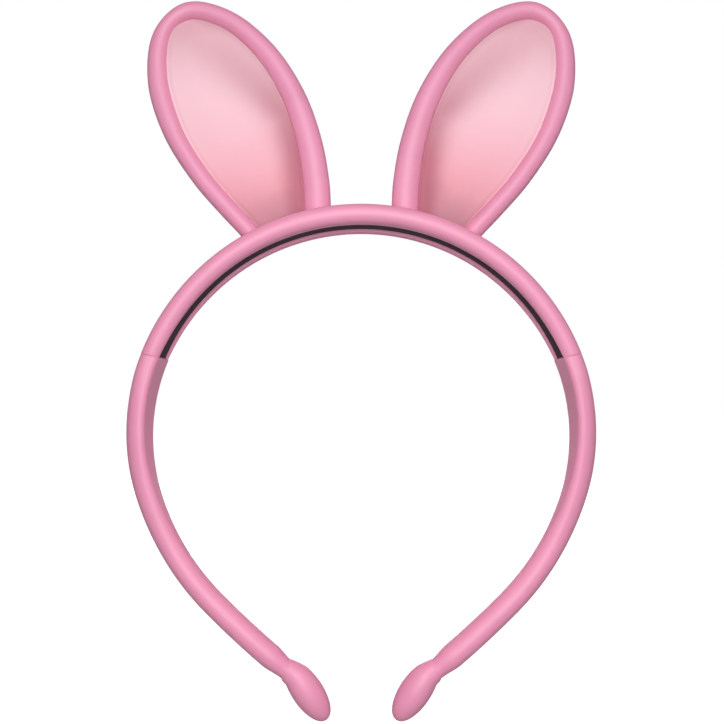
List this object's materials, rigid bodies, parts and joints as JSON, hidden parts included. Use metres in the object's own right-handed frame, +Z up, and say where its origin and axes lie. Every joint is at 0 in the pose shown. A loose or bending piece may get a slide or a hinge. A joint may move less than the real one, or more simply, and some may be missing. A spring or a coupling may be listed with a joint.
{
  "type": "animal ears headband",
  "caption": "Padded hoop headband open at the bottom, with upright rabbit ears on a wide crown, a dark grip strip inside and teardrop ends.",
  "frame": {"origin": "middle of the crown's inner face, on the flat top facet of the grip strip, where the wearer's head touches the band", "axes": "+Z up through the crown, -Y towards the front face of the ears, -X towards the left ear as seen from the front"},
  "size_m": [0.1472, 0.022, 0.2294],
  "materials": {
    "pink_sleeve": "smooth matte satin, pink",
    "pink_rim": "smooth matte satin, pink",
    "pale_panel": "soft satin, pale peach pink",
    "grip_strip": "matte black flocked ribbon",
    "padding": "soft off-white wadding",
    "band_core": "plain moulded plastic",
    "ear_wire": "bare steel wire"
  },
  "bodies": {
    "crown": {"crown_cover": "pink_sleeve", "crown_padding": "padding", "crown_core": "band_core", "grip_strip": "grip_strip", "left_crown_hem": "pink_sleeve", "right_crown_hem": "pink_sleeve", "left_ear_anchor": "band_core", "right_ear_anchor": "band_core"},
    "left_arm": {"left_arm_cover": "pink_sleeve", "left_arm_padding": "padding", "left_arm_core": "band_core", "left_tip_cover": "pink_sleeve", "left_tip_bulb": "band_core"},
    "right_arm": {"right_arm_cover": "pink_sleeve", "right_arm_padding": "padding", "right_arm_core": "band_core", "right_tip_cover": "pink_sleeve", "right_tip_bulb": "band_core"},
    "left_ear": {"left_ear_rim": "pink_rim", "left_ear_rim_wadding": "padding", "left_ear_wire": "ear_wire", "left_ear_front_panel": "pale_panel", "left_ear_filler": "padding", "left_ear_back_panel": "pink_rim"},
    "right_ear": {"right_ear_rim": "pink_rim", "right_ear_rim_wadding": "padding", "right_ear_wire": "ear_wire", "right_ear_front_panel": "pale_panel", "right_ear_filler": "padding", "right_ear_back_panel": "pink_rim"}
  },
  "joints": [
    {"name": "left_arm_flex", "type": "hinge", "parent": "crown", "child": "left_arm", "pos_m": [-0.06695, 0, -0.04504], "axis": [0, 1, 0], "range_deg": [-4, 22], "stiffness_Nm_per_rad": 0.8},
    {"name": "right_arm_flex", "type": "hinge", "parent": "crown", "child": "right_arm", "pos_m": [0.06695, 0, -0.04504], "axis": [0, -1, 0], "range_deg": [-4, 22], "stiffness_Nm_per_rad": 0.8},
    {"name": "left_ear_tilt", "type": "hinge", "parent": "crown", "child": "left_ear", "pos_m": [-0.02517, 0, 0.00415], "axis": [0.9455, 0, 0.3256], "range_deg": [-35, 35]},
    {"name": "right_ear_tilt", "type": "hinge", "parent": "crown", "child": "right_ear", "pos_m": [0.02517, 0, 0.00415], "axis": [0.9455, 0, -0.3256], "range_deg": [-35, 35]}
  ]
}
